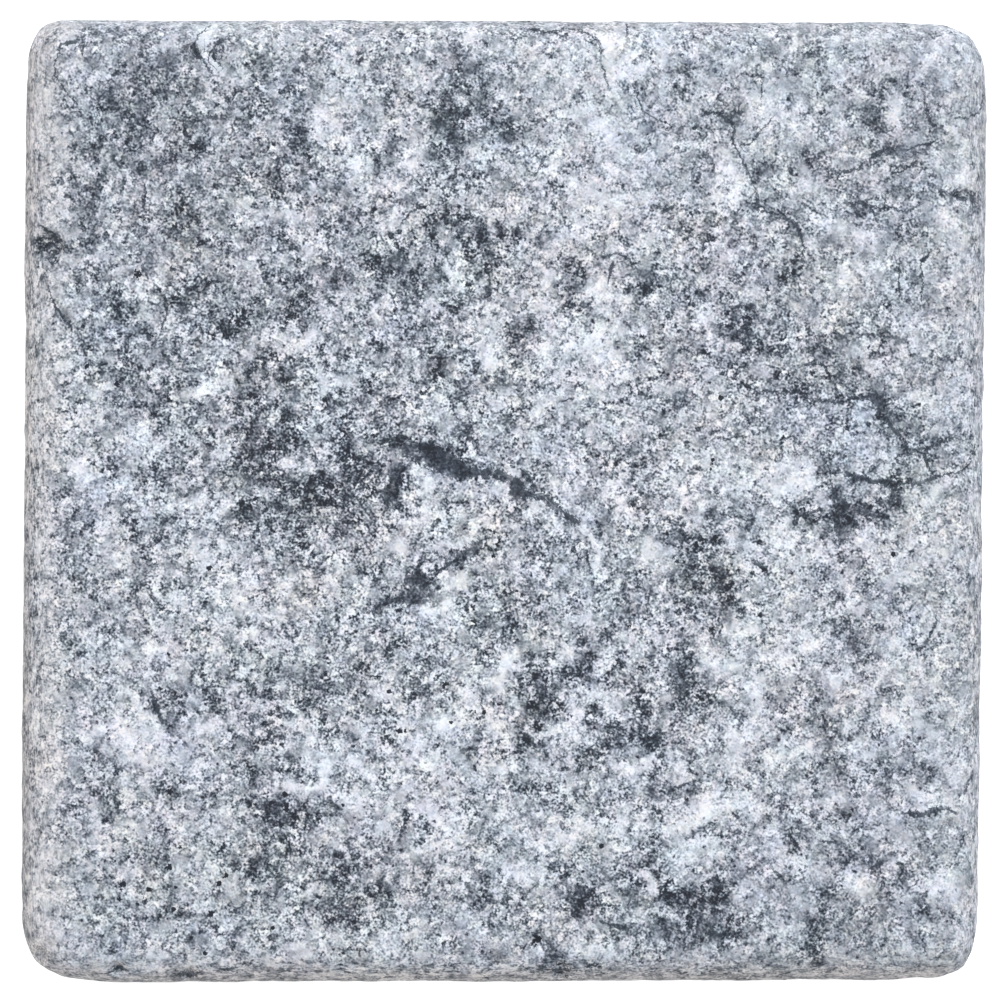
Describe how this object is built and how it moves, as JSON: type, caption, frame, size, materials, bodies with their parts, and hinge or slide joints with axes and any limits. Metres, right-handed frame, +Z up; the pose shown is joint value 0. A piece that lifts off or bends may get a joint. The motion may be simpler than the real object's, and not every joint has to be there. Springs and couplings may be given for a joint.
{
  "type": "tumbled marble tile",
  "caption": "Square stone tile with a flat show face, a flat sawn back, and edges and corners worn round, for bedding on a wall or floor.",
  "frame": {"origin": "middle of the sawn back, on the surface that the tile lies on", "axes": "+Z up out of the show face, +Y towards the tile's far edge, +X to its right"},
  "size_m": [0.1006, 0.1004, 0.01],
  "materials": {
    "marble": "tumbled, matt, grey and white crystals with dark veins"
  },
  "bodies": {
    "root": {"marble_tile": "marble"}
  },
  "joints": []
}
